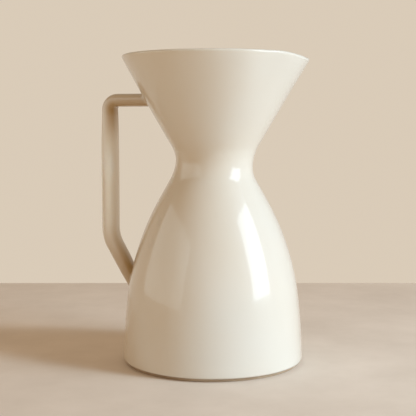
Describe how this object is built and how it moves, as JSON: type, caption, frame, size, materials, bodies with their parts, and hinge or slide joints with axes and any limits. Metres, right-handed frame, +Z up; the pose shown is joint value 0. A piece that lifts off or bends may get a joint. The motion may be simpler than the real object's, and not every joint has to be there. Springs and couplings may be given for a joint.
{
  "type": "ceramic pitcher",
  "caption": "Tall glazed stoneware pitcher: bell-shaped belly, narrow waist, open funnel mouth with a pinched pouring lip, and a slim angular bar handle.",
  "frame": {"origin": "centre of the foot ring's standing face, on the belly's axis", "axes": "+Z up, +X towards the pouring lip, -X towards the handle; the handle's plane is y = 0"},
  "size_m": [0.1741, 0.1524, 0.25],
  "materials": {
    "bare_clay": "unglazed fired stoneware, fine grain",
    "slip": "fired slip",
    "outer_glaze": "glossy warm white glaze",
    "liner_glaze": "glossy warm white glaze",
    "handle_glaze": "glossy warm white glaze"
  },
  "bodies": {
    "root": {"foot_ring": "bare_clay", "bell": "bare_clay", "funnel": "bare_clay", "handle": "bare_clay", "waist_seam": "slip", "upper_handle_seam": "slip", "lower_handle_seam": "slip", "outer_glaze": "outer_glaze", "liner_glaze": "liner_glaze", "handle_glaze": "handle_glaze"}
  },
  "joints": []
}
